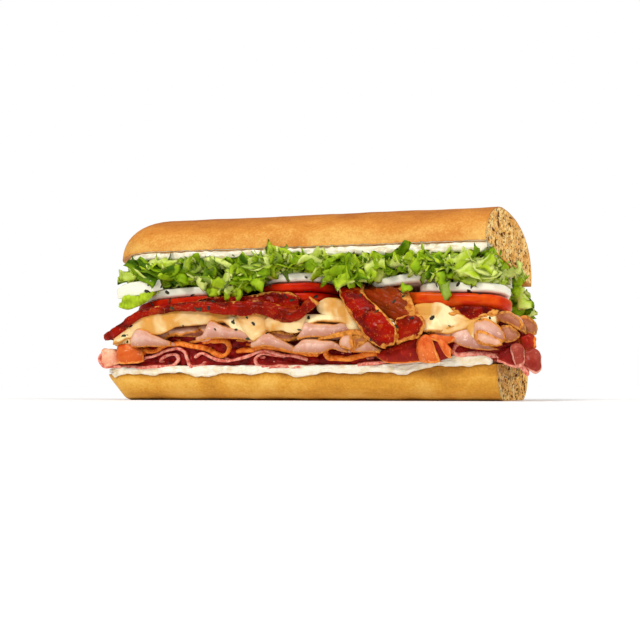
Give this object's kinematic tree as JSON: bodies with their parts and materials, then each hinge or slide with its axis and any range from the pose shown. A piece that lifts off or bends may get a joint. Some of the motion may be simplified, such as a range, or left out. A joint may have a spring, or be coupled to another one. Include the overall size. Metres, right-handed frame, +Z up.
{
  "type": "submarine sandwich",
  "caption": "Half of a long sandwich roll, cut square at one end and filled with cold cuts, cheese, bacon, tomato, onion, shredded lettuce and a white spread.",
  "frame": {"origin": "on the floor under the middle of the sandwich's box", "axes": "+X along the roll towards its cut end, -Y towards the open front, +Z up"},
  "size_m": [0.2182, 0.0974, 0.0916],
  "materials": {
    "crust": "golden brown baked crust, with a porous tan crumb on the cut end",
    "spread": "creamy white spread",
    "capicola": "dark red cured meat with pale pink edges",
    "salami": "red cured sausage with an orange rim",
    "ham": "pale pink cooked meat with a tan rim",
    "cheese": "cream coloured soft cheese",
    "bacon": "dark red fried bacon with amber fat",
    "tomato": "wet red tomato",
    "onion": "translucent white onion",
    "lettuce": "fresh light green leaves with pale ribs"
  },
  "bodies": {
    "root": {"bread_bottom": "crust", "bread_top": "crust", "spread_bottom": "spread", "spread_top": "spread", "capicola_1": "capicola", "capicola_2": "capicola", "capicola_3": "capicola", "capicola_4": "capicola", "capicola_5": "capicola", "capicola_6": "capicola", "salami_1": "salami", "salami_2": "salami", "salami_3": "salami", "salami_4": "salami", "salami_5": "salami", "salami_6": "salami", "ham_roll": "ham", "ham_curl": "ham", "ham_1": "ham", "ham_2": "ham", "ham_3": "ham", "ham_4": "ham", "ham_5": "ham", "ham_6": "ham", "ham_7": "ham", "cheese_1": "cheese", "cheese_2": "cheese", "cheese_3": "cheese", "cheese_4": "cheese", "bacon_front": "bacon", "bacon_back": "bacon", "bacon_fold": "bacon", "bacon_flap": "bacon", "bacon_hood": "bacon", "bacon_short": "bacon", "tomato_1": "tomato", "tomato_2": "tomato", "tomato_3": "tomato", "tomato_4": "tomato", "onion_1": "onion", "onion_2": "onion", "onion_3": "onion", "onion_4": "onion", "onion_5": "onion", "lettuce": "lettuce"}
  },
  "joints": []
}
